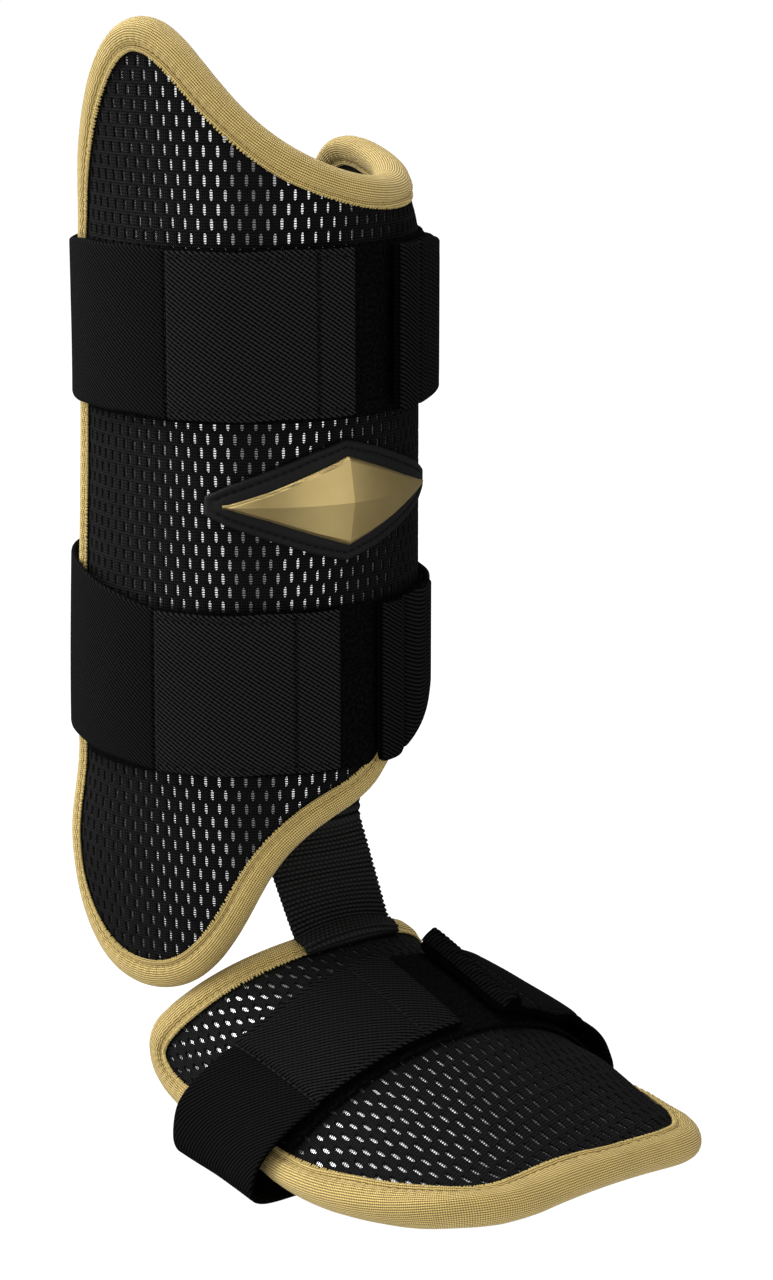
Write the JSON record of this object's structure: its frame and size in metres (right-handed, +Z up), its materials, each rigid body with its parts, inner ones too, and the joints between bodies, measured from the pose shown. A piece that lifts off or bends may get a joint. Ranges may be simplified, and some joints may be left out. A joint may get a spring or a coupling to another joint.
{
  "type": "batter's ankle guard",
  "caption": "Padded guard for a batter's shin, ankle and instep: a bent shin panel and a domed foot panel joined by a webbing, held on by elastic straps.",
  "frame": {"origin": "on the leg's axis, half way up between the two shin straps", "axes": "+Z up the leg, -Y toward the toe, +X to the outer side of the left leg"},
  "size_m": [0.1404, 0.2197, 0.3403],
  "materials": {
    "lining": "matt black foam with a knitted face",
    "shell": "smooth silver-grey moulded plate",
    "mesh": "black knitted mesh with rows of slots",
    "tape": "ribbed gold-tan woven tape",
    "elastic": "black woven elastic",
    "loop": "fuzzy black loop pile",
    "webbing": "coarse black woven webbing",
    "backing": "satin black",
    "plate": "satin metallic gold"
  },
  "bodies": {
    "root": {"shin_pad": "lining", "shin_shell": "shell", "shin_mesh": "mesh", "shin_binding": "tape", "badge_backing": "backing", "badge_plate": "plate", "upper_loop_strip": "loop", "upper_strap": "elastic", "lower_loop_strip": "loop", "lower_strap": "elastic", "foot_pad": "lining", "foot_shell": "shell", "foot_mesh": "mesh", "foot_binding": "tape", "foot_loop_strip": "loop", "foot_strap": "elastic", "ankle_webbing": "webbing"}
  },
  "joints": []
}
